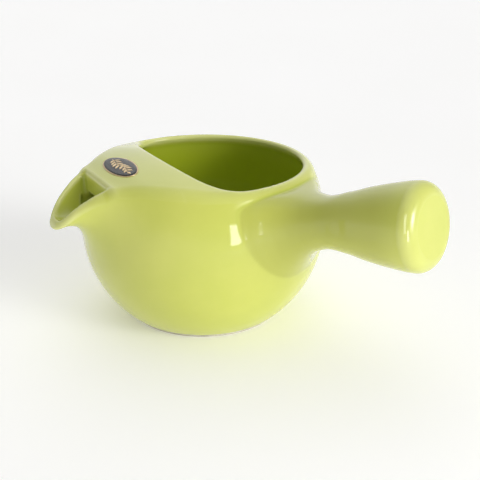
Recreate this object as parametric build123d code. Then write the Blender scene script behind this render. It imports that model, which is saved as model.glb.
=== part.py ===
from build123d import *
import math
import os

# A lidless side-handled teapot: a round slip-cast bowl with a D-shaped mouth, a hood over the
# front third of the mouth, an open beak spout, a hollow trumpet handle and a steel strainer.
# Frame: millimetres, +Z up, origin at the centre of the foot. The spout points along -Y and the
# handle leaves the bowl towards +X, turned a little towards the back.

# Bowl: two half ellipses of revolution that meet at the belly, cut level at the foot and the rim.
BELLY_RADIUS = 50.0
BELLY_Z = 37.5
LOWER_SEMI = 48.2
UPPER_SEMI = 52.9
RIM_Z = 63.5
WALL = 3.7
FLOOR_Z = 5.0
RIM_FILLET = 1.6
# Degrees round the bowl to the line where its surface closes on itself, clear of every joint.
CASTING_SEAM = 130.0

# Foot: a turned ring of bare clay under the glazed bowl.
FOOT_HEIGHT = 1.2
FOOT_WIDTH = 4.5
FOOT_INSET = 1.0

# Hood: the roof over the front of the mouth. Its crown line is (y, z), from back to front.
HOOD_BACK_Y = -14.5
HOOD_SEAM_Z = 60.5
HOOD_THICKNESS = 3.4
HOOD_CROWN = [(-10.0, 67.6), (-22.0, 67.9), (-34.0, 66.7), (-46.0, 62.8), (-54.0, 58.3)]

# Spout: an open beak. Each station is (y, outer half width, underside z, lip z).
SPOUT_STATIONS = [
    (-37.0, 19.0, 35.0, 66.1),
    (-42.0, 16.9, 38.5, 64.5),
    (-46.0, 15.2, 41.0, 63.0),
    (-51.0, 13.5, 44.6, 60.8),
    (-56.0, 11.3, 46.6, 57.4),
    (-60.0, 9.1, 46.8, 53.6),
    (-63.0, 6.0, 46.3, 50.3),
    (-65.2, 2.2, 47.4, 49.2),
]
LIP_THICKNESS = 3.0
TROUGH_BACK_Y = -46.0

# Passage through the bowl's front wall and the spout's back wall: a low arch.
PASSAGE_WIDTH = 16.0
PASSAGE_BOTTOM = 48.5
PASSAGE_TOP = 56.0
PASSAGE_CORNER = 3.0
PASSAGE_BACK_Y = -34.0
PASSAGE_FRONT_Y = -48.0

# Strainer: a dished steel mesh in a ring that is pressed against the inside of the front wall.
STRAINER_Y = -40.0
STRAINER_Z = 50.5
STRAINER_TILT = 15.0
RING_RADIUS = 12.2
RING_WIDTH = 1.5
RING_DEPTH = 8.0
MESH_DISH = 3.0
MESH_THICKNESS = 0.5

# Handle: a hollow trumpet on a rising axis through the middle of the bowl.
# Its outline is (radius, distance along the axis).
HANDLE_TURN = 20.0
HANDLE_RISE = 10.8
HANDLE_AXIS_Z = 40.4
HANDLE_OUTLINE = [
    (25.0, 41.0),
    (21.0, 45.0),
    (15.8, 49.0),
    (12.4, 54.0),
    (10.2, 64.0),
    (13.4, 82.0),
    (15.8, 98.5),
]
# The flare is flattened on top, so that it stays under the rim: (distance from the pot's axis, z).
FLARE_TOP = [(30.0, 60.6), (61.0, 62.4)]
HANDLE_WALL = 3.2
HANDLE_END = 104.8
END_CORNER = 5.0
END_THICKNESS = 4.0

# Label: an oval black film on a gold foil, with a raised gold sprig.
LABEL_LENGTH = 25.0
LABEL_WIDTH = 10.4
LABEL_Y = -35.5
LABEL_BORDER = 0.5
FOIL_THICKNESS = 0.2
FILM_THICKNESS = 0.1
PRINT_THICKNESS = 0.1
LEAF_LENGTH = 3.0
LEAF_WIDTH = 1.2
LEAF_PITCH = 3.0
LEAF_LEAN = 38.0
LEAF_PAIRS = 5

ARC_STEPS = 6
FAR = 200.0


def slab(z_low, z_high):
    """A wide block between two heights."""
    return Pos(0, 0, (z_low + z_high) / 2) * Box(FAR, FAR, z_high - z_low)


def ahead_of(y):
    """A wide block that holds everything further forward than y."""
    return Pos(0, y - FAR / 2, 0) * Box(FAR, FAR, FAR)


def ellipse_arc(radius, semi, start, end):
    """A curve along an ellipse about the middle of the belly, between two angles in radians."""
    step = (end - start) / ARC_STEPS
    angles = [start + count * step for count in range(ARC_STEPS + 1)]
    points = [(radius * math.cos(angle), BELLY_Z + semi * math.sin(angle)) for angle in angles]
    ends = [(-radius * math.sin(angle), semi * math.cos(angle)) for angle in (start, end)]
    return Spline(*points, tangents=ends)


def egg_face(inset, base_z):
    """Half of the bowl's cross-section, moved inwards by inset and cut flat at base_z."""
    radius = BELLY_RADIUS - inset
    lower = LOWER_SEMI - inset
    base_angle = math.asin((BELLY_Z - base_z) / lower)
    lower_arc = ellipse_arc(radius, lower, -base_angle, 0)
    upper_arc = ellipse_arc(radius, UPPER_SEMI - inset, 0, math.pi / 2)
    axis_side = Polyline(upper_arc @ 1, (0, base_z), lower_arc @ 0)
    return make_face([lower_arc, upper_arc, *axis_side.edges()])


def egg(inset, base_z):
    """The bowl's solid of revolution, moved inwards by inset and cut flat at base_z."""
    return Rot(0, 0, CASTING_SEAM) * revolve(Plane.XZ * egg_face(inset, base_z), Axis.Z)


def under_crown(drop):
    """Everything below the hood's crown line once that line is lowered by drop."""
    points = [(y, z - drop) for y, z in HOOD_CROWN]
    crown = Spline(*points)
    sides = Polyline(points[-1], (points[-1][0], 0), (points[0][0], 0), points[0])
    outline = make_face([crown, *sides.edges()])
    return extrude(Plane.YZ * outline, BELLY_RADIUS, both=True)


def inside():
    """The space inside the pot, under the hood."""
    return egg(WALL, FLOOR_Z) & under_crown(HOOD_THICKNESS)


def passage():
    """The low arch that the tea runs through, along Y."""
    height = PASSAGE_TOP - PASSAGE_BOTTOM
    centre = (0, PASSAGE_BACK_Y, PASSAGE_BOTTOM + height / 2)
    start = Plane(centre, x_dir=(1, 0, 0), z_dir=(0, -1, 0))
    arch = RectangleRounded(PASSAGE_WIDTH, height, PASSAGE_CORNER)
    return extrude(start * arch, PASSAGE_BACK_Y - PASSAGE_FRONT_Y)


def make_bowl():
    """The round body, open to its level rim except where the hood sits on it."""
    wall = egg_face(0, FOOT_HEIGHT) - egg_face(WALL, FLOOR_Z)
    wall &= Pos(0, RIM_Z / 2) * Rectangle(FAR, RIM_Z)
    rim = wall.vertices().group_by(Axis.Y)[-1]
    wall = fillet(rim, RIM_FILLET)
    bowl = Rot(0, 0, CASTING_SEAM) * revolve(Plane.XZ * wall, Axis.Z)
    bowl -= ahead_of(HOOD_BACK_Y) & slab(HOOD_SEAM_Z, RIM_Z + 1)
    return bowl - passage()


def make_foot_ring():
    """The bare clay ring that the pot stands on."""
    glaze_edge = BELLY_RADIUS * math.sqrt(1 - ((BELLY_Z - FOOT_HEIGHT) / LOWER_SEMI) ** 2)
    outer = glaze_edge - FOOT_INSET
    ring = Cylinder(outer, FOOT_HEIGHT) - Cylinder(outer - FOOT_WIDTH, FOOT_HEIGHT)
    ring = Pos(0, 0, FOOT_HEIGHT / 2) * ring
    ground = ring.edges().filter_by_position(Axis.Z, -0.01, 0.01)
    return fillet(ground, FOOT_HEIGHT / 3)


def make_hood():
    """The domed roof from the seam on the bowl up to the crown line."""
    roof = egg(0, FOOT_HEIGHT) & under_crown(0)
    front = ahead_of(HOOD_BACK_Y) & slab(HOOD_SEAM_Z, FAR)
    return (roof - inside()) & front


def beak_section(station, inset, rise):
    """One U-shaped section of the beak, closed straight across at rise above its lip."""
    y, half_width, underside, lip = station
    half_width -= inset
    depth = lip - underside - inset
    keel = EllipticalCenterArc((0, lip), half_width, depth, 180, arc_size=180)
    left, right = keel @ 0, keel @ 1
    top = Polyline(right, (right.X, lip + rise), (left.X, lip + rise), left)
    section = make_face([keel, *top.edges()])
    return Plane((0, y, 0), x_dir=(1, 0, 0), z_dir=(0, -1, 0)) * section


def make_spout():
    """The beak, with its trough cut in from above and the arch through its back wall."""
    beak = loft([beak_section(station, 0, 0.1) for station in SPOUT_STATIONS])
    trough = loft([beak_section(station, LIP_THICKNESS, 20) for station in SPOUT_STATIONS[:-1]])
    beak -= trough & ahead_of(TROUGH_BACK_Y)
    beak -= passage()
    return beak - egg(0, FOOT_HEIGHT)


def make_strainer_ring():
    """The steel ring that holds the mesh, trimmed to the curve of the bowl's wall."""
    ring = Cylinder(RING_RADIUS, RING_DEPTH) - Cylinder(RING_RADIUS - RING_WIDTH, RING_DEPTH)
    ring = strainer_plane() * Pos(0, 0, RING_DEPTH / 2) * ring
    return ring & inside()


def strainer_plane():
    """The back face of the strainer ring, looking out through the front wall."""
    tilt = math.radians(STRAINER_TILT)
    outward = (0, -math.cos(tilt), math.sin(tilt))
    return Plane((0, STRAINER_Y, STRAINER_Z), x_dir=(1, 0, 0), z_dir=outward)


def make_strainer_mesh():
    """The mesh as a thin dished sheet that bulges into the bowl."""
    reach = RING_RADIUS - RING_WIDTH
    sphere_radius = (reach**2 + MESH_DISH**2) / (2 * MESH_DISH)
    centre = Pos(0, 0, sphere_radius - MESH_DISH)
    dome = centre * (Sphere(sphere_radius) - Sphere(sphere_radius - MESH_THICKNESS))
    mouth = Pos(0, 0, -MESH_DISH / 2) * Cylinder(reach, 3 * MESH_DISH)
    return strainer_plane() * Pos(0, 0, MESH_THICKNESS) * (dome & mouth) & inside()


def handle_axis():
    """The handle's own frame: its origin inside the bowl and its normal along the handle."""
    turn, rise = math.radians(HANDLE_TURN), math.radians(HANDLE_RISE)
    level = math.cos(rise)
    outward = (math.cos(turn) * level, math.sin(turn) * level, math.sin(rise))
    return Plane((0, 0, HANDLE_AXIS_Z), z_dir=outward)


def trumpet(inset):
    """The solid inside the handle's outline, moved inwards by inset."""
    points = [(radius - inset, along) for radius, along in HANDLE_OUTLINE]
    flare = Spline(*points)
    sides = Polyline(points[-1], (0, points[-1][1]), (0, points[0][1]), points[0])
    return revolve(Plane.XZ * make_face([flare, *sides.edges()]), Axis.Z)


def over_flare():
    """The block that trims the top of the flare, in the upright plane of the handle."""
    (near, near_z), (far, far_z) = FLARE_TOP
    outline = Polyline((near, near_z), (far, far_z), (far, FAR), (near, FAR), close=True)
    block = extrude(Plane.XZ * make_face(outline), BELLY_RADIUS, both=True)
    return Rot(0, 0, HANDLE_TURN) * block


def make_handle():
    """The hollow trumpet, seated on the outside of the bowl."""
    shell = handle_axis() * (trumpet(0) - trumpet(HANDLE_WALL))
    return shell - egg(0, FOOT_HEIGHT) - over_flare()


def make_handle_end():
    """The round-cornered cap that closes the wide end of the handle."""
    radius, seam = HANDLE_OUTLINE[-1]
    length = HANDLE_END - seam
    cap = Pos(0, 0, seam + length / 2) * Cylinder(radius, length)
    cap = fillet(cap.edges().group_by(Axis.Z)[-1], END_CORNER)
    hollow = length - END_THICKNESS
    cap -= Pos(0, 0, seam + hollow / 2) * Cylinder(radius - HANDLE_WALL, hollow)
    return handle_axis() * cap


def label_layer(shape, bottom, top):
    """A flat shape pressed onto the hood, between two heights above the crown."""
    prism = extrude(Pos(0, LABEL_Y, HOOD_SEAM_Z) * shape, FAR / 10)
    return (prism & under_crown(-top)) - under_crown(-bottom)


def make_label_foil():
    """The gold foil oval; its edge shows as the border."""
    oval = Ellipse(LABEL_LENGTH / 2, LABEL_WIDTH / 2)
    return label_layer(oval, 0, FOIL_THICKNESS)


def make_label_film():
    """The black oval film over the foil."""
    oval = Ellipse(LABEL_LENGTH / 2 - LABEL_BORDER, LABEL_WIDTH / 2 - LABEL_BORDER)
    return label_layer(oval, FOIL_THICKNESS, FOIL_THICKNESS + FILM_THICKNESS)


def make_label_sprig():
    """A plain leafy sprig along the label, as separate gold leaves."""
    bottom = FOIL_THICKNESS + FILM_THICKNESS
    leaves = []
    for pair in range(LEAF_PAIRS):
        along = (pair - (LEAF_PAIRS - 1) / 2) * LEAF_PITCH
        for side in (-1, 1):
            leaf = Ellipse(LEAF_LENGTH / 2, LEAF_WIDTH / 2)
            spot = Pos(along, side * LEAF_LENGTH / 3, 0) * Rot(0, 0, side * LEAF_LEAN)
            leaves.append(label_layer(spot * leaf, bottom, bottom + PRINT_THICKNESS))
    return Compound(leaves)


PARTS = {
    "bowl": make_bowl,
    "foot_ring": make_foot_ring,
    "hood": make_hood,
    "spout": make_spout,
    "strainer_ring": make_strainer_ring,
    "strainer_mesh": make_strainer_mesh,
    "handle": make_handle,
    "handle_end": make_handle_end,
    "label_foil": make_label_foil,
    "label_film": make_label_film,
    "label_sprig": make_label_sprig,
}

os.makedirs("parts", exist_ok=True)
for name, make in PARTS.items():
    export_step(make(), f"parts/{name}.step")
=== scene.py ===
import math

import bpy
import numpy as np
from mathutils import Matrix


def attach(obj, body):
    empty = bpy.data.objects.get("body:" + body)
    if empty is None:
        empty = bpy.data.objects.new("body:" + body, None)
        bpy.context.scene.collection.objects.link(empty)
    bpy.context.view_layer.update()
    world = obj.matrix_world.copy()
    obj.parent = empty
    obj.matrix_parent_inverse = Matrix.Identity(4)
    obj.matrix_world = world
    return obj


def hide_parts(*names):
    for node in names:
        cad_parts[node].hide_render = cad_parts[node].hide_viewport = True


# A lidless side-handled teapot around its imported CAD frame. The ceramic is one smooth solid,
# given by a signed distance in millimetres, and meshed as the separate clay pieces it is made of.
# The foot ring, the strainer and the label are built as meshes of their own.

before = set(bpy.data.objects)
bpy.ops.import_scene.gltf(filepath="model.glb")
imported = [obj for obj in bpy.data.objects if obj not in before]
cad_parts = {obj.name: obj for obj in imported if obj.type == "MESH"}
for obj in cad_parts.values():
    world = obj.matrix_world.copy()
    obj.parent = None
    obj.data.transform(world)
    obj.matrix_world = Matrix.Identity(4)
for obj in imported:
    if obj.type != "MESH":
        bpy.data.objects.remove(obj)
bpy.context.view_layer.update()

MM = 0.001

# ---------------------------------------------------------------- ceramic shape, in millimetres
BELLY_RADIUS = 50.0
BELLY_Z = 37.5
LOWER_SEMI = 48.2
UPPER_SEMI = 52.9
RIM_Z = 63.5
RIM_ROUND = 3.0
RIM_INNER_ROUND = 2.2
WALL = 3.7
FLOOR_Z = 5.0
FLOOR_FILLET = 3.0
BASE_Z = 1.2
BASE_ROUND = 1.0
# Makes a slanted height difference about as steep as a true distance.
SLOPE_EASE = 0.9

# The roof line over the spout and the front of the mouth, as (y, z).
CROWN = [(20, 66), (-10, 67.6), (-22, 67.9), (-34, 66.7), (-46, 63), (-50, 61.4), (-54, 58.9),
         (-58, 55.7), (-62, 51.3), (-65, 47.7), (-70, 40)]
CROSS_RADIUS = 180.0
HOOD_FADE = (-14.0, -2.0)
HOOD_CREASE = 0.6
BEAK_TAKES_OVER = (44.0, 48.0)
HOOD_THICKNESS = 3.4
CEILING_ROUND = 2.0
HOOD_EDGE_Y = -19.2
HOOD_EDGE_RADIUS = 107.0
HOOD_CORNER = 10.0
MOUTH_BOTTOM = 40.0
# The mouth opening meets the room below it sharply low down, and softly near the rim.
MOUTH_MELT_Z = (50.0, 58.0)
MOUTH_MELT_LEAST = 0.02

# The beak's outer half width, the height of its underside and of its trough's floor, along y.
BEAK_WIDTH = [(-65.2, 0), (-63, 6), (-60, 9.1), (-56, 11.3), (-51, 13.5), (-46, 15.2), (-42, 16.6),
              (-38, 18.2), (-34, 20.2), (-30, 22.6), (-26, 25.2)]
BEAK_UNDER = [(-65.2, 46.8), (-63, 46.3), (-60, 47), (-56, 47.2), (-51, 45.4), (-46, 41), (-38, 34),
              (-30, 28)]
TROUGH_FLOOR = [(-64, 49.6), (-62, 49.6), (-60, 49.2), (-56, 48.6), (-50, 47.6), (-46, 47.3),
                (-40, 47.3)]
TIP_Y = -65.0
TROUGH_TIP_Y = -62.2
TROUGH_BACK_Y = -46.0
TROUGH_BACK_ROUND = 2.0
TROUGH_TIP_ROUND = 1.0
TROUGH_EDGE_ROUND = 1.6
LIP = 3.1
BEAK_BLEND = 12.0
BEAK_BACK_Y = -26.0
BEAK_EASE = 0.85
LEAST_SIZE = 0.3
# The arch from the bowl into the trough. Its front leans with the beak.
HOLE_HALF_WIDTH = 10.4
HOLE_Z = (48.6, 55.0)
HOLE_CORNER = 3.0
HOLE_EDGE_ROUND = 1.2
HOLE_BACK_Y = -34.0
HOLE_FRONT = (-47.6, 56.0)
HOLE_LEAN = 0.35

# The handle: radius along its axis, which rises from the middle of the bowl.
HANDLE_TURN = 20.0
HANDLE_RISE = 10.8
HANDLE_AXIS_Z = 40.4
HANDLE_END = 104.8
END_CORNER = 5.0
END_SEAM = 98.5
HANDLE_RADIUS = [(38, 27.6), (41, 26.4), (43, 24.9), (44, 23.75), (46, 21.5), (48, 19.0),
                 (50, 16.7), (54, 13.2), (58, 11.3), (64, 10.2), (73, 11.4), (82, 13.4), (91, 14.9),
                 (98.5, 15.7), (106, 15.75)]
HANDLE_BLEND = 0.6
HANDLE_START = 20.0
# How much the flare, and the rest of the handle, slopes: a true distance over a radial one.
FLARE_EASE = 0.6
STEM_EASE = 0.93
FLARE_RUN = (44.0, 56.0)
# The flare is flatter on top, under the rim: height over distance from the pot's axis.
FLARE_TOP = [(20, 60), (40, 60.6), (50, 61.2), (57, 62.3), (63, 64.6), (75, 74), (110, 100)]
FLARE_TOP_ROUND = 4.0

HOOD_SEAM = (60.5, -14.5)
SPOUT_SEAM = (1.2, -30.0)
HANDLE_SEAM = 0.8
# The seam stays this near the handle's line, and this far from its start.
HANDLE_SEAM_REACH = (26.0, 30.0)


def curve(points):
    """A smooth function through (at, value) points that doesn't overshoot between them."""
    at, value = np.array(sorted(points), float).T
    slope = np.diff(value) / np.diff(at)
    product = slope[1:] * slope[:-1]
    total = slope[1:] + slope[:-1]
    inner = np.divide(2 * product, total, out=np.zeros_like(total), where=product > 0)
    tangent = np.concatenate([slope[:1], inner, slope[-1:]])
    fine = np.linspace(at[0], at[-1], 600)
    left = np.clip(np.searchsorted(at, fine, side="right") - 1, 0, len(at) - 2)
    width = at[left + 1] - at[left]
    t = (fine - at[left]) / width
    table = ((1 + 2 * t) * (1 - t) ** 2 * value[left] + t * (1 - t) ** 2 * width * tangent[left]
             + t * t * (3 - 2 * t) * value[left + 1] + t * t * (t - 1) * width * tangent[left + 1])
    return lambda s: np.interp(s, fine, table)


crown = curve(CROWN)
beak_square = curve([(y, width ** 2) for y, width in BEAK_WIDTH])
beak_under = curve(BEAK_UNDER)
trough_floor = curve(TROUGH_FLOOR)
handle_radius = curve(HANDLE_RADIUS)
flare_top = curve(FLARE_TOP)

turn, rise = math.radians(HANDLE_TURN), math.radians(HANDLE_RISE)
HANDLE_WAY = np.array([math.cos(turn) * math.cos(rise), math.sin(turn) * math.cos(rise),
                       math.sin(rise)])


def smooth_min(a, b, radius):
    mix = np.clip(0.5 + 0.5 * (b - a) / radius, 0, 1)
    return b + (a - b) * mix - radius * mix * (1 - mix)


def smooth_max(a, b, radius):
    return -smooth_min(-a, -b, radius)


def smooth_step(low, high, value):
    t = np.clip((value - low) / (high - low), 0, 1)
    return t * t * (3 - 2 * t)


def ellipse_distance(u, v, a, b):
    k0 = np.sqrt((u / a) ** 2 + (v / b) ** 2)
    k1 = np.sqrt((u / a ** 2) ** 2 + (v / b ** 2) ** 2)
    return k0 * (k0 - 1) / np.maximum(k1, 1e-6)


def egg(r, z, inset=0.0):
    """Distance to the bowl's solid of revolution, moved inwards by inset."""
    semi = np.where(z > BELLY_Z, UPPER_SEMI - inset, LOWER_SEMI - inset)
    return ellipse_distance(r, z - BELLY_Z, BELLY_RADIUS - inset, semi)


def roof_height(x, y):
    """Height of the rim, and of the hood where it stands higher."""
    roof = crown(y) - x * x / (2 * CROSS_RADIUS)
    bump = roof - RIM_Z
    bump = 0.5 * (bump + np.sqrt(bump * bump + HOOD_CREASE))
    hooded = RIM_Z + bump * (1 - smooth_step(*HOOD_FADE, y))
    front = smooth_step(*BEAK_TAKES_OVER, -y)
    return hooded * (1 - front) + roof * front


def along_handle(p):
    """Distance along the handle's axis, and away from it."""
    q = p - np.array([0, 0, HANDLE_AXIS_Z])
    s = q @ HANDLE_WAY
    return s, np.sqrt(np.maximum((q * q).sum(-1) - s * s, 0))


def handle(p):
    s, away = along_handle(p)
    along = np.clip((s - FLARE_RUN[0]) / (FLARE_RUN[1] - FLARE_RUN[0]), 0, 1)
    side = (away - handle_radius(s)) * (FLARE_EASE + (STEM_EASE - FLARE_EASE) * along)
    dx, dy = side + END_CORNER, s - HANDLE_END + END_CORNER
    inner = np.minimum(np.maximum(dx, dy), 0)
    rounded = inner + np.hypot(np.maximum(dx, 0), np.maximum(dy, 0)) - END_CORNER
    out = p[:, 0] * math.cos(turn) + p[:, 1] * math.sin(turn)
    over = (p[:, 2] - flare_top(out)) * SLOPE_EASE
    return smooth_max(np.maximum(rounded, HANDLE_START - s), over, FLARE_TOP_ROUND)


def beak(x, y, z, width, roof):
    depth = np.maximum(roof - beak_under(y), LEAST_SIZE)
    solid = ellipse_distance(x, np.minimum(z - roof, 0), width, depth) * BEAK_EASE
    return np.maximum(np.maximum(solid, TIP_Y - y), y - BEAK_BACK_Y)


def trough(x, y, z, width, roof):
    depth = np.maximum(roof - trough_floor(y), LEAST_SIZE)
    inner_width = np.maximum(width - LIP, LEAST_SIZE)
    space = ellipse_distance(x, np.minimum(z - roof, 0), inner_width, depth)
    space = smooth_max(space, y - TROUGH_BACK_Y, TROUGH_BACK_ROUND)
    return smooth_max(space, TROUGH_TIP_Y - y, TROUGH_TIP_ROUND)


def hole(x, y, z):
    """The low arch from the bowl into the trough."""
    middle, half = sum(HOLE_Z) / 2, (HOLE_Z[1] - HOLE_Z[0]) / 2
    dx = np.abs(x) - HOLE_HALF_WIDTH + HOLE_CORNER
    dz = np.abs(z - middle) - half + HOLE_CORNER
    tube = np.hypot(np.maximum(dx, 0), np.maximum(dz, 0)) + np.minimum(np.maximum(dx, dz), 0)
    tube = tube - HOLE_CORNER
    front = (HOLE_FRONT[0] - y - HOLE_LEAN * (HOLE_FRONT[1] - z)) * SLOPE_EASE
    return np.maximum(np.maximum(tube, front), y - HOLE_BACK_Y)


def beak_width(y):
    """Half the beak's width, never quite 0."""
    return np.sqrt(np.maximum(beak_square(y), 0.04))


def ceramic(p):
    """Signed distance to the whole glazed body, negative inside the clay."""
    x, y, z = p[:, 0], p[:, 1], p[:, 2]
    r = np.hypot(x, y)
    width, roof = beak_width(y), crown(y)
    body = smooth_min(egg(r, z), beak(x, y, z, width, roof), BEAK_BLEND)
    top = roof_height(x, y)
    body = smooth_max(body, (z - top) * SLOPE_EASE, RIM_ROUND)
    body = smooth_min(body, handle(p), HANDLE_BLEND)
    body = smooth_max(body, BASE_Z - z, BASE_ROUND)
    room = smooth_max(egg(r, z, WALL), FLOOR_Z - z, FLOOR_FILLET)
    room = smooth_max(room, (z - top + HOOD_THICKNESS) * SLOPE_EASE, CEILING_ROUND)
    edge = HOOD_EDGE_Y + x * x / (2 * HOOD_EDGE_RADIUS)
    mouth = smooth_max(egg(r, np.minimum(z, RIM_Z - RIM_ROUND / 2), WALL), edge - y, HOOD_CORNER)
    mouth = np.maximum(mouth, MOUTH_BOTTOM - z)
    air = smooth_min(room, mouth, MOUTH_MELT_LEAST + smooth_step(*MOUTH_MELT_Z, z))
    clay = smooth_max(body, -trough(x, y, z, width, roof), TROUGH_EDGE_ROUND)
    clay = smooth_max(clay, -hole(x, y, z), HOLE_EDGE_ROUND)
    return smooth_max(clay, -air, RIM_INNER_ROUND)


# Where each clay piece after the bowl lies: negative inside it, later ones first.
def in_hood(p):
    return np.maximum(HOOD_SEAM[0] - p[:, 2], p[:, 1] - HOOD_SEAM[1])


def in_spout(p):
    outside = SPOUT_SEAM[0] - egg(np.hypot(p[:, 0], p[:, 1]), p[:, 2])
    return np.maximum(outside, p[:, 1] - SPOUT_SEAM[1])


def in_handle(p):
    s, away = along_handle(p)
    outside = HANDLE_SEAM - egg(np.hypot(p[:, 0], p[:, 1]), p[:, 2])
    return np.maximum(np.maximum(outside, away - HANDLE_SEAM_REACH[0]), HANDLE_SEAM_REACH[1] - s)


def in_handle_end(p):
    return END_SEAM - along_handle(p)[0]


CLAY_PIECES = ["bowl", "hood", "spout", "handle", "handle_end"]
REGIONS = [None, in_hood, in_spout, in_handle, in_handle_end]


# ---------------------------------------------------------------- meshing the ceramic
PITCH = 0.8
GRID_LOW = np.array([-52.0, -67.2, -0.4])
GRID_HIGH = np.array([104.0, 52.0, 76.0])
SLAB = 12
NO_PIECE = 99
# Seam points stay this far inside their own cells, as shares of the pitch.
SEAM_KEEP = (0.2, 0.8)
CORNERS = np.array([(i, j, k) for i in (0, 1) for j in (0, 1) for k in (0, 1)])
EDGES = [(a, b) for a in range(8) for b in range(a + 1, 8)
         if np.abs(CORNERS[a] - CORNERS[b]).sum() == 1]


def gradient(field, p, reach=0.05):
    steps = np.eye(3) * reach
    return np.stack([field(p + d) - field(p - d) for d in steps], 1) / (2 * reach)


def step_to_zero(field, p, longest):
    """Move points towards field = 0, by no more than longest."""
    g = gradient(field, p)
    move = -field(p)[:, None] * g / np.maximum((g * g).sum(1), 1e-9)[:, None]
    size = np.linalg.norm(move, axis=1)
    return p + move * np.minimum(1, longest / np.maximum(size, 1e-9))[:, None]


def label_grid():
    """Signed distance on a grid, and which piece each grid point lies in (-1 in the air)."""
    counts = np.ceil((GRID_HIGH - GRID_LOW) / PITCH).astype(int) + 1
    axes = [GRID_LOW[a] + PITCH * np.arange(counts[a]) for a in range(3)]
    distance = np.empty(counts)
    label = np.full(counts, -1, np.int8)
    for start in range(0, counts[0], SLAB):
        part = slice(start, start + SLAB)
        p = np.stack(np.meshgrid(axes[0][part], axes[1], axes[2], indexing="ij"), -1)
        shape = p.shape[:3]
        p = p.reshape(-1, 3)
        d = ceramic(p)
        clay = d < 0
        found = np.zeros(clay.sum(), np.int8)
        for index, region in enumerate(REGIONS):
            if region:
                found[region(p[clay]) < 0] = index
        here = np.full(len(p), -1, np.int8)
        here[clay] = found
        distance[part] = d.reshape(shape)
        label[part] = here.reshape(shape)
    return distance, label


def grid_faces(label):
    """For each piece, its quads as four cell numbers each, and whether a quad faces the air."""
    stride = np.array([label.shape[1] * label.shape[2], label.shape[2], 1])
    quads = {index: [] for index in range(len(CLAY_PIECES))}
    for axis, (u, v) in enumerate([(1, 2), (2, 0), (0, 1)]):
        low, high = [slice(None)] * 3, [slice(None)] * 3
        low[axis], high[axis] = slice(None, -1), slice(1, None)
        before, after = label[tuple(low)], label[tuple(high)]
        where = np.argwhere(before != after)
        a, b = before[tuple(where.T)], after[tuple(where.T)]
        code = where @ stride
        ring = np.stack([code - stride[u] - stride[v], code - stride[v], code,
                         code - stride[u]], 1)
        for index in quads:
            mine, theirs = a == index, b == index
            quads[index].append((ring[mine], b[mine] < 0))
            quads[index].append((ring[theirs][:, ::-1], a[theirs] < 0))
    return {index: (np.vstack([q for q, _ in parts]), np.concatenate([o for _, o in parts]))
            for index, parts in quads.items()}


def cell_points(cells, distance, label):
    """One point for each cell: on the glaze where the cell meets the air, else on a seam."""
    stride = np.array([label.shape[1] * label.shape[2], label.shape[2], 1])
    at_corner = cells[:, None] + CORNERS @ stride
    d = distance.ravel()[at_corner]
    kinds = label.ravel()[at_corner]
    base = np.stack(np.unravel_index(cells, label.shape), 1)
    total, count = np.zeros((len(cells), 3)), np.zeros(len(cells))
    for a, b in EDGES:
        crossed = (d[:, a] < 0) != (d[:, b] < 0)
        share = np.divide(d[:, a], d[:, a] - d[:, b], out=np.zeros(len(cells)), where=crossed)
        spot = CORNERS[a] + share[:, None] * (CORNERS[b] - CORNERS[a])
        total += spot * crossed[:, None]
        count += crossed
    on_glaze = count > 0
    local = np.where(on_glaze[:, None], total / np.maximum(count, 1)[:, None], 0.5)
    p = GRID_LOW + PITCH * (base + local)
    highest = kinds.max(1)
    lowest = np.where(kinds < 0, NO_PIECE, kinds).min(1)
    mixed = highest != lowest
    for _ in range(3):
        p[on_glaze] = step_to_zero(ceramic, p[on_glaze], PITCH / 2)
    inner = mixed & ~on_glaze
    for _ in range(3):
        for index, region in enumerate(REGIONS):
            seam = inner & (highest == index)
            if region and seam.any():
                p[seam] = step_to_zero(region, p[seam], PITCH / 2)
    cell = GRID_LOW + PITCH * base[inner]
    p[inner] = np.clip(p[inner], cell + SEAM_KEEP[0] * PITCH, cell + SEAM_KEEP[1] * PITCH)
    return p, on_glaze


def bend_of(p, reach=0.8):
    """How sharply the surface bulges at each point, as 1 / millimetres."""
    middle = 6 * ceramic(p)
    around = sum(ceramic(p + d) + ceramic(p - d) for d in np.eye(3) * reach)
    return (around - middle) / reach ** 2


# Where the glaze counts as inside the pot, or as on the handle, for the painted shade there.
INDOORS_BELOW_ROOF = 3.0
INDOORS_BELOW_CROWN = 2.5
INDOORS_OFF_TROUGH = 0.6
INDOORS_FADE = 2.0
HANDLE_SHADE_EDGE = (-0.1, 0.15)
HANDLE_SHADE_FADE = (88.0, 101.0)


def inside_shade_mask(p):
    """Painted shade: 0 on the outside of the pot, rising to 1 down in the bowl and in the trough."""
    x, y, z = p[:, 0], p[:, 1], p[:, 2]
    past_wall = -egg(np.hypot(x, y), z) - WALL / 2
    bowl = np.minimum(past_wall, roof_height(x, y) - z - INDOORS_BELOW_ROOF)
    near_trough = INDOORS_OFF_TROUGH - trough(x, y, z, beak_width(y), crown(y))
    channel = np.minimum(near_trough, crown(y) - z - INDOORS_BELOW_CROWN)
    return np.clip(np.maximum(bowl, channel) / INDOORS_FADE, 0, 1)


def handle_shade_mask(p):
    """Painted shade: 1 on the handle and its flare, fading to 0 before its end, and 0 on the rest of
    the pot.
    """
    s, _ = along_handle(p)
    out = egg(np.hypot(p[:, 0], p[:, 1]), p[:, 2]) - handle(p)
    share = np.clip((out - HANDLE_SHADE_EDGE[0]) / (HANDLE_SHADE_EDGE[1] - HANDLE_SHADE_EDGE[0]), 0, 1)
    return share * (1 - smooth_step(*HANDLE_SHADE_FADE, s)) * (s > HANDLE_START)


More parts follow.
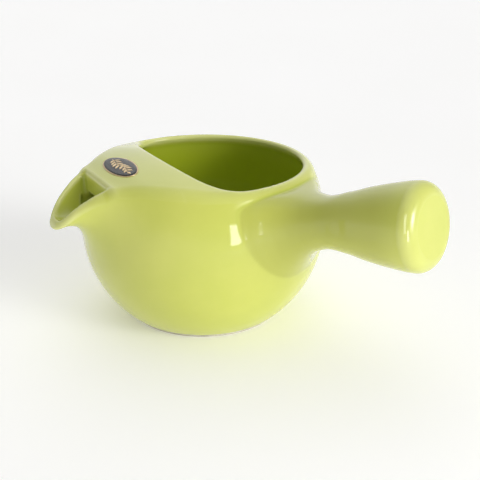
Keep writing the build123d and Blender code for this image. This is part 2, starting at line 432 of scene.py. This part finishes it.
def new_object(name, points, faces, loop_normals=None, values=None):
    """A mesh object from points in millimetres."""
    mesh = bpy.data.meshes.new(name)
    mesh.from_pydata((np.asarray(points) * MM).tolist(), [], [list(map(int, f)) for f in faces])
    mesh.polygons.foreach_set("use_smooth", np.ones(len(mesh.polygons), bool))
    for key, value in (values or {}).items():
        mesh.attributes.new(key, "FLOAT", "POINT").data.foreach_set("value", value)
    mesh.update()
    if loop_normals is not None:
        mesh.normals_split_custom_set(loop_normals.tolist())
    made = bpy.data.objects.new(name, mesh)
    bpy.context.scene.collection.objects.link(made)
    return made


def unit(rows):
    return rows / np.maximum(np.linalg.norm(rows, axis=1), 1e-9)[:, None]


def faces_and_normals(quads, facing_air, points, normals, on_glaze):
    """A piece's faces with a normal for each corner: smooth on the glaze, flat on the seams.

    A seam quad with one corner deep in the clay is split there, so that no half of it lies flat
    under the glaze.
    """
    corner = points[quads]
    flat = unit(np.cross(corner[:, 2] - corner[:, 0], corner[:, 3] - corner[:, 1]))
    loops = np.where(on_glaze[quads][..., None], normals[quads], flat[:, None])
    deep = ~on_glaze[quads]
    faces, face_normals = [], []
    for k, quad in enumerate(quads):
        m = int(np.argmax(deep[k]))
        orders = [[0, 1, 2, 3]]
        if deep[k].sum() == 1 and not facing_air[k]:
            orders = [[m, (m + 1) % 4, (m + 2) % 4], [m, (m + 2) % 4, (m + 3) % 4]]
        for order in orders:
            faces.append(quad[order])
            face_normals.append(loops[k][order])
    return faces, np.vstack(face_normals)


def build_ceramic():
    distance, label = label_grid()
    quads = grid_faces(label)
    cells = np.unique(np.concatenate([q.ravel() for q, _ in quads.values()]))
    points, on_glaze = cell_points(cells, distance, label)
    normals = np.zeros_like(points)
    normals[on_glaze] = unit(gradient(ceramic, points[on_glaze]))
    thin = np.zeros(len(points))
    thin[on_glaze] = np.clip(bend_of(points[on_glaze]), -1, 1)
    values = {"thin_glaze": thin, "inside_shade_mask": inside_shade_mask(points), "handle_shade_mask": handle_shade_mask(points)}
    made = {}
    for index, (quad, facing_air) in quads.items():
        used, local = np.unique(quad, return_inverse=True)
        where = np.searchsorted(cells, used)
        faces, loops = faces_and_normals(local.reshape(quad.shape), facing_air, points[where],
                                         normals[where], on_glaze[where])
        name = CLAY_PIECES[index]
        made[name] = new_object(name + "_glazed", points[where], faces, loops,
                                {key: value[where] for key, value in values.items()})
    return made


def surface_height(x, y):
    """Height of the glaze over a place on the hood."""
    z = roof_height(x, y)
    for _ in range(12):
        z = z - ceramic(np.stack([x, y, z], 1))
    return z


# ---------------------------------------------------------------- round parts and the label
def lathe(outline, steps, place=None, name="ring"):
    """A closed (r, z) outline turned round Z; place maps (r, angle, z) rows to points."""
    outline = np.asarray(outline, float)
    n = len(outline)
    angle = np.linspace(0, 2 * math.pi, steps, endpoint=False)
    r, z = outline[:, 0], outline[:, 1]
    if place is None:
        p = np.stack([np.outer(np.cos(angle), r), np.outer(np.sin(angle), r),
                      np.tile(z, (steps, 1))], -1).reshape(-1, 3)
    else:
        p = place(angle, outline).reshape(-1, 3)
    faces = []
    for i in range(steps):
        j = (i + 1) % steps
        for k in range(n):
            m = (k + 1) % n
            faces.append((i * n + k, j * n + k, j * n + m, i * n + m))
    return new_object(name, p, faces)


def join_shells(name, shells):
    points, faces = [], []
    for p, f in shells:
        base = sum(map(len, points))
        points.append(p)
        faces += [tuple(base + k for k in face) for face in f]
    return new_object(name, np.vstack(points), faces)


def rounded_box_outline(r0, r1, z0, z1, radius, steps=4):
    """Counter-clockwise outline of a rectangle in (r, z) with round corners."""
    out = []
    for (cr, cz), start in (((r1 - radius, z0 + radius), -90), ((r1 - radius, z1 - radius), 0),
                            ((r0 + radius, z1 - radius), 90), ((r0 + radius, z0 + radius), 180)):
        for step in range(steps + 1):
            a = math.radians(start + 90 * step / steps)
            out.append((cr + radius * math.cos(a), cz + radius * math.sin(a)))
    return out


FOOT_OUTER = BELLY_RADIUS * math.sqrt(1 - ((BELLY_Z - BASE_Z) / LOWER_SEMI) ** 2) - 1.0
FOOT_WIDTH = 4.5
FOOT_ROUND = 0.4


def build_foot():
    outline = rounded_box_outline(FOOT_OUTER - FOOT_WIDTH, FOOT_OUTER, 0, BASE_Z, FOOT_ROUND)
    return lathe(outline, 160, name="foot_ring_clay")


STRAINER_AT = np.array([0, -40.0, 50.5])
STRAINER_TILT = math.radians(15)
STRAINER_OUT = np.array([0, -math.cos(STRAINER_TILT), math.sin(STRAINER_TILT)])
STRAINER_UP = np.array([0, math.sin(STRAINER_TILT), math.cos(STRAINER_TILT)])
RING_RADIUS = 12.2
RING_WIDTH = 1.5
RING_ROUND = 0.3
RING_BACK = 0.4
RING_WALL_GAP = 0.05
RING_LEAST_DEPTH = 0.8
WALL_SEARCH = 9.0
MESH_REACH = RING_RADIUS - RING_WIDTH
MESH_DISH = 3.0
WIRE_PITCH = 1.1
WIRE_RADIUS = 0.17
WIRE_END_GAP = 0.1
WIRE_LIFT = 0.3
WEAVE_DEPTH = 0.9 * WIRE_RADIUS
# Any direction that no wire runs along.
TUBE_AXIS = [0.31, 0.17, 0.93]


def on_strainer(u, v, w):
    """Points from the strainer's own across, up and outward distances."""
    return (STRAINER_AT + np.multiply.outer(u, [1, 0, 0]) + np.multiply.outer(v, STRAINER_UP)
            + np.multiply.outer(w, STRAINER_OUT))


def wall_reach(u, v):
    """How far out from the strainer's plane the inner face of the front wall is."""
    low, high = np.zeros_like(u), np.full_like(u, WALL_SEARCH)
    for _ in range(30):
        mid = (low + high) / 2
        p = on_strainer(u, v, mid)
        free = ceramic_room(p) < 0
        low, high = np.where(free, mid, low), np.where(free, high, mid)
    return low


def ceramic_room(p):
    """The space inside the pot, without the hole into the trough."""
    x, y, z = p[:, 0], p[:, 1], p[:, 2]
    room = egg(np.hypot(x, y), z, WALL)
    return np.maximum(room, z - roof_height(x, y) + HOOD_THICKNESS)


def build_strainer_ring():
    outline = rounded_box_outline(MESH_REACH, RING_RADIUS, 0, 1, RING_ROUND)
    outline = np.array([(r, np.clip(z, 0, 1)) for r, z in outline])

    def place(angle, rows):
        u = RING_RADIUS * np.cos(angle)
        v = RING_RADIUS * np.sin(angle)
        depth = np.maximum(wall_reach(u, v) - RING_WALL_GAP, RING_LEAST_DEPTH)
        r, w = rows[:, 0], rows[:, 1]
        top = np.maximum(w - 0.5, 0) * 2
        bottom = np.minimum(w, 0.5) * 2
        return on_strainer(np.outer(np.cos(angle), r), np.outer(np.sin(angle), r),
                           bottom * RING_BACK + np.outer(depth - RING_BACK, top))

    return lathe(outline, 120, place, "strainer_ring_steel")


def tube(path, radius, sides=6):
    """A closed round tube along a path: its points and faces."""
    path = np.asarray(path)
    way = np.gradient(path, axis=0)
    way /= np.linalg.norm(way, axis=1)[:, None]
    side = np.cross(way, TUBE_AXIS)
    side /= np.linalg.norm(side, axis=1)[:, None]
    up = np.cross(way, side)
    a = np.linspace(0, 2 * math.pi, sides, endpoint=False)
    ring = np.cos(a)[None, :, None] * side[:, None] + np.sin(a)[None, :, None] * up[:, None]
    p = (path[:, None] + radius * ring).reshape(-1, 3)
    faces = []
    for i in range(len(path) - 1):
        for k in range(sides):
            m = (k + 1) % sides
            faces.append((i * sides + k, i * sides + m, (i + 1) * sides + m, (i + 1) * sides + k))
    last = (len(path) - 1) * sides
    faces.append(tuple(range(sides))[::-1])
    faces.append(tuple(last + k for k in range(sides)))
    return p, faces


def build_strainer_mesh():
    """Plain-woven wire, dished into the bowl."""
    sphere = (MESH_REACH ** 2 + MESH_DISH ** 2) / (2 * MESH_DISH)
    shells = []
    count = int(MESH_REACH / WIRE_PITCH)
    for across in (0, 1):
        for line in range(-count, count + 1):
            off = line * WIRE_PITCH
            half = math.sqrt(max(MESH_REACH ** 2 - off * off, 0)) - WIRE_END_GAP
            if half < 1:
                continue
            run = np.linspace(-half, half, max(int(half * 4), 6))
            u, v = (run, np.full_like(run, off)) if across else (np.full_like(run, off), run)
            dome = sphere - MESH_DISH - np.sqrt(sphere ** 2 - u * u - v * v)
            lift = np.cos(math.pi * (run / WIRE_PITCH + line + across)) * WEAVE_DEPTH
            shells.append(tube(on_strainer(u, v, dome + WIRE_LIFT + lift), WIRE_RADIUS))
    return join_shells("strainer_mesh_wire", shells)


LABEL_Y = -35.5
LABEL_HALF = (12.5, 5.2)
FOIL_BORDER = 0.5
OVAL_RINGS = 8
# Heights over the glaze, bottom and top.
FOIL_LAYER = (0.0, 0.2)
FILM_LAYER = (0.15, 0.3)
PRINT_LAYER = (0.25, 0.4)
STEM_RUN = (-9.2, 8.4)
STEM_PIECES = 16
STEM_WIDTH = 0.34
STEM_OVERLAP = 0.15
STEM_SWAY = 0.5
STEM_TURNS = 0.55
LEAF_RUN = (-7.8, 5.8)
LEAF_PAIRS = 7
LEAF_SIZE = (3.1, 1.25)
LEAF_SHRINK = 0.05
LEAF_STAGGER = 0.35
LEAF_LEAN = (50, -2)
TIP_LEAF = (8.2, 2.4, 1.0, 8)


def decal(outline, low, high, rings):
    """A thin closed slab pressed on the hood: outline in plan, from low to high above it."""
    outline = np.asarray(outline, float)
    n = len(outline)
    centre = outline.mean(0)
    share = np.arange(1, rings + 1) / rings
    plan = np.vstack([centre[None]] + [centre + s * (outline - centre) for s in share])
    x, y = plan[:, 0], plan[:, 1] + LABEL_Y
    z = surface_height(x, y)
    up = gradient(ceramic, np.stack([x, y, z], 1))
    up /= np.linalg.norm(up, axis=1)[:, None]
    base = np.stack([x, y, z], 1)
    top, bottom = base + high * up, base + low * up
    m = len(plan)
    faces = []
    for k in range(n):
        j = (k + 1) % n
        faces.append((0, 1 + k, 1 + j))
        faces.append((m, m + 1 + j, m + 1 + k))
        for ring in range(rings - 1):
            a, b = 1 + ring * n, 1 + (ring + 1) * n
            faces.append((a + k, b + k, b + j, a + j))
            faces.append((m + a + k, m + a + j, m + b + j, m + b + k))
        rim = 1 + (rings - 1) * n
        faces.append((rim + k, m + rim + k, m + rim + j, rim + j))
    return np.vstack([top, bottom]), faces


def oval(half_x, half_y, steps=120):
    a = np.linspace(0, 2 * math.pi, steps, endpoint=False)
    return np.stack([half_x * np.cos(a), half_y * np.sin(a)], 1)


def leaf(x, y, length, width, lean):
    """A pointed leaf outline that starts at (x, y)."""
    t = np.linspace(0, 1, 9)
    bulge = width / 2 * np.sin(math.pi * t ** 0.85)
    shape = np.vstack([np.stack([t * length, -bulge], 1), np.stack([t * length, bulge], 1)[-2:0:-1]])
    c, s = math.cos(math.radians(lean)), math.sin(math.radians(lean))
    return shape @ np.array([[c, s], [-s, c]]) + (x, y)


def stem(x):
    return STEM_SWAY * math.sin(x * STEM_TURNS)


def stem_shells():
    shells = []
    steps = np.linspace(*STEM_RUN, STEM_PIECES + 1)
    for x0, x1 in zip(steps[:-1], steps[1:]):
        y0, y1 = stem(x0), stem(x1)
        lean = math.degrees(math.atan2(y1 - y0, x1 - x0))
        length = math.hypot(x1 - x0, y1 - y0) + 2 * STEM_OVERLAP
        outline = leaf(x0 - STEM_OVERLAP, y0, length, STEM_WIDTH, lean)
        shells.append(decal(outline, *PRINT_LAYER, 1))
    return shells


def leaf_shells():
    shells = []
    for k, x in enumerate(np.linspace(*LEAF_RUN, LEAF_PAIRS)):
        size = 1.0 - LEAF_SHRINK * abs(k - LEAF_PAIRS // 2)
        for side in (-1, 1):
            lean = side * (LEAF_LEAN[0] + LEAF_LEAN[1] * k)
            start = x + LEAF_STAGGER * (side > 0)
            outline = leaf(start, stem(x), LEAF_SIZE[0] * size, LEAF_SIZE[1] * size, lean)
            shells.append(decal(outline, *PRINT_LAYER, 2))
    x, length, width, lean = TIP_LEAF
    shells.append(decal(leaf(x, stem(x), length, width, lean), *PRINT_LAYER, 2))
    return shells


def build_label():
    """The foil oval, the black film on it and the sprig printed on the film."""
    film_half = [half - FOIL_BORDER for half in LABEL_HALF]
    foil = join_shells("label_foil_gold", [decal(oval(*LABEL_HALF), *FOIL_LAYER, OVAL_RINGS)])
    film = join_shells("label_film_black", [decal(oval(*film_half), *FILM_LAYER, OVAL_RINGS)])
    sprig = join_shells("label_sprig_gold", stem_shells() + leaf_shells())
    return foil, film, sprig


# ---------------------------------------------------------------- materials
class Nodes:
    """The node tree of a material or a world, with short calls to add nodes and join them."""

    def __init__(self, owner, place, last):
        owner.use_nodes = True
        self.owner = owner
        self.tree = owner.node_tree
        self.last = self.tree.nodes[last]
        self.place = self.add("ShaderNodeTexCoord").outputs[place]

    def add(self, kind, **inputs):
        node = self.tree.nodes.new(kind)
        for key, value in inputs.items():
            socket = node.inputs[key.replace("_", " ")]
            self.give(socket, value)
        return node

    def give(self, socket, value):
        if isinstance(value, bpy.types.NodeSocket):
            self.tree.links.new(value, socket)
        else:
            socket.default_value = value

    def noise(self, scale, detail=3.0, roughness=0.5, vector=None, distortion=0.0):
        node = self.add("ShaderNodeTexNoise", Vector=vector or self.place, Scale=scale,
                        Detail=detail, Roughness=roughness, Distortion=distortion)
        return node.outputs["Fac"]

    def stretch(self, x, y, z):
        return self.add("ShaderNodeMapping", Vector=self.place, Scale=(x, y, z)).outputs["Vector"]

    def remap(self, value, low, high, to_low, to_high):
        node = self.tree.nodes.new("ShaderNodeMapRange")
        for socket, item in zip(node.inputs[:5], (value, low, high, to_low, to_high)):
            self.give(socket, item)
        return node.outputs["Result"]

    def math(self, operation, a, b=0.0):
        node = self.tree.nodes.new("ShaderNodeMath")
        node.operation = operation
        self.give(node.inputs[0], a)
        self.give(node.inputs[1], b)
        return node.outputs[0]

    def mix(self, share, a, b):
        node = self.tree.nodes.new("ShaderNodeMix")
        node.data_type = "RGBA"
        self.give(node.inputs[0], share)
        self.give(node.inputs[6], a)
        self.give(node.inputs[7], b)
        return node.outputs[2]

    def measured(self, name):
        """A value that the mesh carries for each of its points."""
        node = self.tree.nodes.new("ShaderNodeAttribute")
        node.attribute_name = name
        return node.outputs["Fac"]

    def bump(self, height, distance, after=None):
        node = self.add("ShaderNodeBump", Height=height, Distance=distance, Strength=1.0)
        if after is not None:
            self.give(node.inputs["Normal"], after)
        return node.outputs["Normal"]

    def finish(self, **inputs):
        """Give the last node, the shader, its inputs."""
        for key, value in inputs.items():
            self.give(self.last.inputs[key.replace("_", " ")], value)
        return self.owner


def material_nodes(name):
    return Nodes(bpy.data.materials.new(name), "Object", "Principled BSDF")


def rgb(r, g, b):
    return (r, g, b, 1.0)


GLAZE = rgb(0.64, 0.67, 0.14)
GLAZE_DEEP = rgb(0.60, 0.64, 0.12)
GLAZE_THIN = rgb(0.72, 0.74, 0.28)
GLAZE_POOL = rgb(0.52, 0.59, 0.085)
# Painted shade for the insides of the bowl and the trough, standing in for the light bounced about in
# there.
GLAZE_INSIDE_SHADE = rgb(0.46, 0.55, 0.02)
# Painted shade for the handle and its flare, which the side light barely reaches.
GLAZE_HANDLE_SHADE = rgb(0.52, 0.545, 0.10)
HANDLE_SHADE_SHARE = 0.85


def glaze_material():
    """Clouded lime glaze: paler where it is thin on edges, deeper where it pools, with painted shade
    inside the pot and on the handle.
    """
    n = material_nodes("lime_glaze")
    cloud = n.noise(38.0, 4.0, 0.55)
    colour = n.mix(n.remap(cloud, 0.35, 0.65, 0.0, 1.0), GLAZE, GLAZE_DEEP)
    bend = n.measured("thin_glaze")
    patchy = n.remap(n.noise(160.0, 2.0), 0.3, 0.7, 0.75, 1.1)
    edge = n.math("MULTIPLY", n.remap(bend, 0.09, 0.5, 0.0, 0.85), patchy)
    colour = n.mix(edge, colour, GLAZE_THIN)
    colour = n.mix(n.remap(bend, -0.04, -0.3, 0.0, 0.7), colour, GLAZE_POOL)
    # Painted shade on the handle and its flare.
    painted_handle_shade = n.math("MULTIPLY", n.measured("handle_shade_mask"), HANDLE_SHADE_SHARE)
    colour = n.mix(painted_handle_shade, colour, GLAZE_HANDLE_SHADE)
    # Painted shade inside the bowl and the trough.
    colour = n.mix(n.measured("inside_shade_mask"), colour, GLAZE_INSIDE_SHADE)
    speck = n.remap(n.noise(1500.0, 1.0), 0.73, 0.8, 0.0, 0.25)
    colour = n.mix(speck, colour, GLAZE_POOL)
    rough = n.remap(n.noise(220.0, 3.0), 0.3, 0.7, 0.05, 0.10)
    wave = n.bump(n.noise(55.0, 2.0, 0.4), 0.00005)
    skin = n.bump(n.noise(900.0, 2.0), 0.000008, after=wave)
    return n.finish(Base_Color=colour, Roughness=rough, Normal=skin, IOR=1.50, Coat_Weight=0.20,
                    Coat_Roughness=0.04)


def clay_material():
    """Bare fired clay with grain, stained patches and turning marks."""
    n = material_nodes("bare_stoneware")
    grain = n.noise(1400.0, 5.0, 0.65)
    patch = n.noise(120.0, 3.0)
    colour = n.mix(n.remap(grain, 0.3, 0.7, 0.0, 1.0), rgb(0.50, 0.46, 0.38), rgb(0.70, 0.67, 0.60))
    colour = n.mix(n.remap(patch, 0.45, 0.75, 0.0, 0.5), colour, rgb(0.42, 0.38, 0.30))
    turned = n.noise(2500.0, 2.0, vector=n.stretch(1.0, 1.0, 0.05))
    skin = n.bump(grain, 0.00008, after=n.bump(turned, 0.00003))
    return n.finish(Base_Color=colour, Roughness=n.remap(patch, 0.2, 0.8, 0.8, 0.95), Normal=skin)


def steel_material(name, tone, grain_scale):
    """Brushed steel with tea stains."""
    n = material_nodes(name)
    brush = n.noise(grain_scale, 4.0, 0.6, vector=n.stretch(0.06, 1.0, 1.0))
    stain = n.noise(260.0, 3.0)
    light = rgb(tone, tone, tone * 0.98)
    dark = rgb(tone * 0.7, tone * 0.69, tone * 0.62)
    colour = n.mix(n.remap(stain, 0.45, 0.75, 0.0, 0.6), light, dark)
    rough = n.remap(brush, 0.3, 0.7, 0.24, 0.42)
    return n.finish(Base_Color=colour, Metallic=1.0, Roughness=rough,
                    Normal=n.bump(brush, 0.00002))


def gold_material(name, relief):
    """Worn gold foil or print, with a fine grain of the given relief in metres."""
    n = material_nodes(name)
    grain = n.noise(1800.0, 3.0)
    wear = n.noise(420.0, 4.0, 0.6)
    colour = n.mix(n.remap(wear, 0.4, 0.7, 0.0, 0.7), rgb(0.84, 0.66, 0.40), rgb(0.62, 0.44, 0.24))
    rough = n.remap(grain, 0.3, 0.7, 0.34, 0.52)
    return n.finish(Base_Color=colour, Metallic=0.85, Roughness=rough,
                    Normal=n.bump(grain, relief))


def film_material():
    """Black film with haze, dust and fine scratches."""
    n = material_nodes("black_label_film")
    dust = n.noise(2200.0, 2.0)
    haze = n.noise(300.0, 3.0)
    scratch = n.noise(900.0, 2.0, vector=n.stretch(0.05, 1.0, 1.0), distortion=0.4)
    colour = n.mix(n.remap(haze, 0.35, 0.7, 0.0, 1.0), rgb(0.010, 0.010, 0.012),
                   rgb(0.022, 0.021, 0.020))
    colour = n.mix(n.remap(dust, 0.68, 0.76, 0.0, 0.35), colour, rgb(0.14, 0.13, 0.11))
    rough = n.remap(scratch, 0.3, 0.7, 0.22, 0.42)
    return n.finish(Base_Color=colour, Roughness=rough, Normal=n.bump(haze, 0.00001))


FLOOR_GLOW = 0.22


def floor_material():
    n = material_nodes("studio_floor")
    tone = n.noise(6.0, 2.0)
    colour = n.mix(n.remap(tone, 0.3, 0.7, 0.0, 1.0), rgb(0.93, 0.925, 0.915), rgb(0.95, 0.945, 0.94))
    return n.finish(Emission_Color=rgb(1.0, 1.0, 1.0), Emission_Strength=FLOOR_GLOW,
                    Base_Color=colour, Roughness=n.remap(tone, 0.3, 0.7, 0.7, 0.8),
                    Specular_IOR_Level=0.1)


# ---------------------------------------------------------------- the pieces
glaze = glaze_material()
clay = clay_material()
ring_steel = steel_material("ring_steel", 0.58, 700.0)
wire_steel = steel_material("wire_steel", 0.36, 1500.0)
foil_gold = gold_material("foil_gold", 0.00001)
print_gold = gold_material("print_gold", 0.00003)
black_film = film_material()


def settle(piece, material, node):
    piece.data.materials.append(material)
    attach(piece, "root")
    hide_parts(node)


clay_pieces = build_ceramic()
for node, piece in clay_pieces.items():
    settle(piece, glaze, node)
settle(build_foot(), clay, "foot_ring")
settle(build_strainer_ring(), ring_steel, "strainer_ring")
settle(build_strainer_mesh(), wire_steel, "strainer_mesh")
foil, film, sprig = build_label()
settle(foil, foil_gold, "label_foil")
settle(film, black_film, "label_film")
settle(sprig, print_gold, "label_sprig")


# ---------------------------------------------------------------- stage, light and camera
def direction(azimuth, elevation):
    """Unit vector from the pot towards a compass azimuth (0 in front of the spout)."""
    a, e = math.radians(azimuth), math.radians(elevation)
    return np.array([math.sin(a) * math.cos(e), -math.cos(a) * math.cos(e), math.sin(e)])


def aim(thing, position, target):
    """Put thing at position, in metres, with its -Z axis at target and its Y axis upwards."""
    back = position - target
    back /= np.linalg.norm(back)
    right = np.cross([0, 0, 1], back)
    right = right / np.linalg.norm(right) if np.linalg.norm(right) > 1e-6 else np.array([1.0, 0, 0])
    up = np.cross(back, right)
    rows = [[right[i], up[i], back[i], position[i]] for i in range(3)] + [[0, 0, 0, 1]]
    thing.matrix_world = Matrix(rows)


LIGHT_TARGET = np.array([0.0, 0.0, 0.045])


def softbox(name, azimuth, elevation, distance, size, radiance):
    """A rectangular soft light that faces the pot and that the camera doesn't see."""
    data = bpy.data.lights.new(name, "AREA")
    data.shape = "RECTANGLE"
    data.size, data.size_y = size
    data.energy = radiance * math.pi * size[0] * size[1]
    lamp = bpy.data.objects.new(name, data)
    lamp.visible_camera = False
    bpy.context.scene.collection.objects.link(lamp)
    aim(lamp, LIGHT_TARGET + distance * direction(azimuth, elevation), LIGHT_TARGET)
    return lamp


FLOOR_SIZE = 4.0
FLOOR_CORNERS = [(-1, -1), (1, -1), (1, 1), (-1, 1)]
floor_mesh = bpy.data.meshes.new("floor")
floor_mesh.from_pydata([(x * FLOOR_SIZE, y * FLOOR_SIZE, 0) for x, y in FLOOR_CORNERS], [],
                       [(0, 1, 2, 3)])
floor = bpy.data.objects.new("floor", floor_mesh)
bpy.context.scene.collection.objects.link(floor)
floor_mesh.materials.append(floor_material())

# The two panes of a window, whose reflection stands beside the handle's flare.
WINDOW_ELEVATION = 3.0
WINDOW_DISTANCE = 0.30
WINDOW_HEIGHT = 0.080
WINDOW_RADIANCE = 8.0
for side, pane_azimuth, pane_width in (("left", 87.3, 0.034), ("right", 93.5, 0.006)):
    softbox("window_pane_" + side, pane_azimuth, WINDOW_ELEVATION, WINDOW_DISTANCE,
            (pane_width, WINDOW_HEIGHT), WINDOW_RADIANCE)

# A card that shows as the long bright line down the rounded edge of the handle's end.
end_card = softbox("end_card", azimuth=68.0, elevation=22.7, distance=0.38, size=(0.10, 0.24),
                   radiance=4.0)
end_card.visible_diffuse = False
end_only = bpy.data.collections.new("lit_by_end_card")
end_only.objects.link(clay_pieces["handle_end"])
end_card.light_linking.receiver_collection = end_only

# The studio's white walls: an even level, and soft brighter sides as (azimuth, elevation, level,
# sharpness).
WALL_LEVEL = 0.24
BRIGHT_SIDES = [(115, 18, 14.5, 50), (225, 5, 0.20, 6), (247, 40, 1.05, 6), (0, 88, 0.62, 6)]
# The white floor sweeps up into the walls: the level at the horizon, and how fast it fades.
SWEEP_LEVEL = 0.55
SWEEP_FADE = 6.0


def studio_world():
    n = Nodes(bpy.data.worlds.new("studio"), "Generated", "Background")
    level = WALL_LEVEL
    for azimuth, elevation, amount, sharpness in BRIGHT_SIDES:
        dot = n.tree.nodes.new("ShaderNodeVectorMath")
        dot.operation = "DOT_PRODUCT"
        n.give(dot.inputs[0], n.place)
        n.give(dot.inputs[1], direction(azimuth, elevation))
        lobe = n.math("POWER", n.math("MAXIMUM", dot.outputs["Value"]), sharpness)
        level = n.math("ADD", n.math("MULTIPLY", lobe, amount), level)
    height = n.add("ShaderNodeSeparateXYZ", Vector=n.place).outputs["Z"]
    low = n.math("SUBTRACT", 1.0, n.math("ABSOLUTE", height))
    sweep = n.math("MULTIPLY", n.math("POWER", low, SWEEP_FADE), SWEEP_LEVEL)
    return n.finish(Strength=n.math("ADD", level, sweep), Color=rgb(1.0, 1.0, 1.0))


bpy.context.scene.world = studio_world()

CAMERA_AZIMUTH = 59.82
CAMERA_ELEVATION = 22.27
CAMERA_DISTANCE = 0.340
CAMERA_TARGET = np.array([0.00758, 0.01303, 0.02868])
FOCAL_LENGTH = 60.63

camera_data = bpy.data.cameras.new("camera")
camera_data.sensor_width = 36.0
camera_data.lens = FOCAL_LENGTH
camera_data.clip_start = 0.01
camera_data.clip_end = 50.0
camera = bpy.data.objects.new("camera", camera_data)
bpy.context.scene.collection.objects.link(camera)
back = direction(CAMERA_AZIMUTH, CAMERA_ELEVATION)
aim(camera, CAMERA_TARGET + CAMERA_DISTANCE * back, CAMERA_TARGET)
bpy.context.scene.camera = camera
bpy.context.scene.view_settings.view_transform = "Standard"
